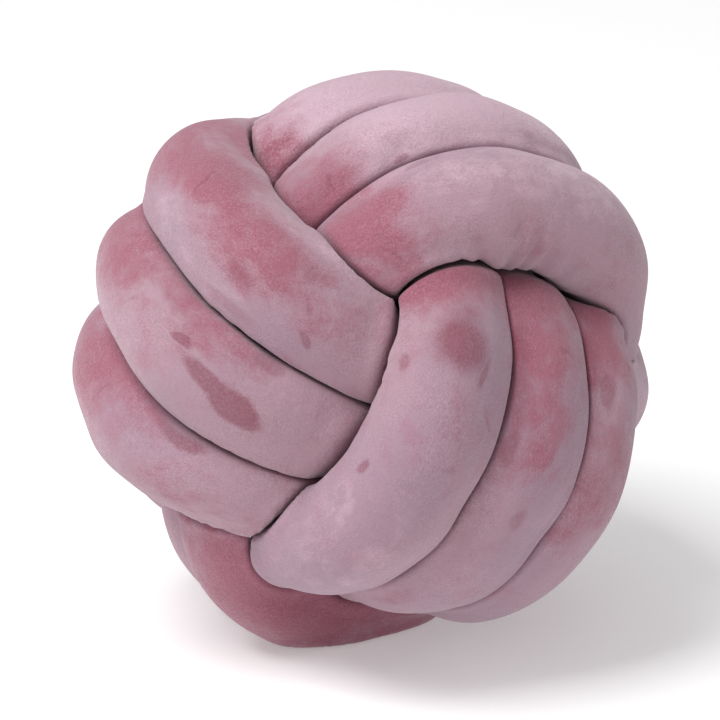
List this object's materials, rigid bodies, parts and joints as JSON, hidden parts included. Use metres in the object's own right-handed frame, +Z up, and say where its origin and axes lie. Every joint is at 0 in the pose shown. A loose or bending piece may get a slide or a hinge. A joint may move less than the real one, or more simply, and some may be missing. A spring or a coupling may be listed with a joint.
{
  "type": "knot cushion",
  "caption": "Ball-shaped knot cushion: one long stuffed velvet tube wound in interlocking courses and tucked in, to rest on a sofa, bed or shelf.",
  "frame": {"origin": "on the resting surface, below the middle of the ball's box", "axes": "+Z up; +X to the right and +Y away when the swirl of the knot faces the viewer"},
  "size_m": [0.2993, 0.3032, 0.2881],
  "materials": {
    "plush": "short-pile velvet in dusty pink, darker where the pile is brushed the other way"
  },
  "bodies": {
    "root": {"knot_tube": "plush"}
  },
  "joints": []
}
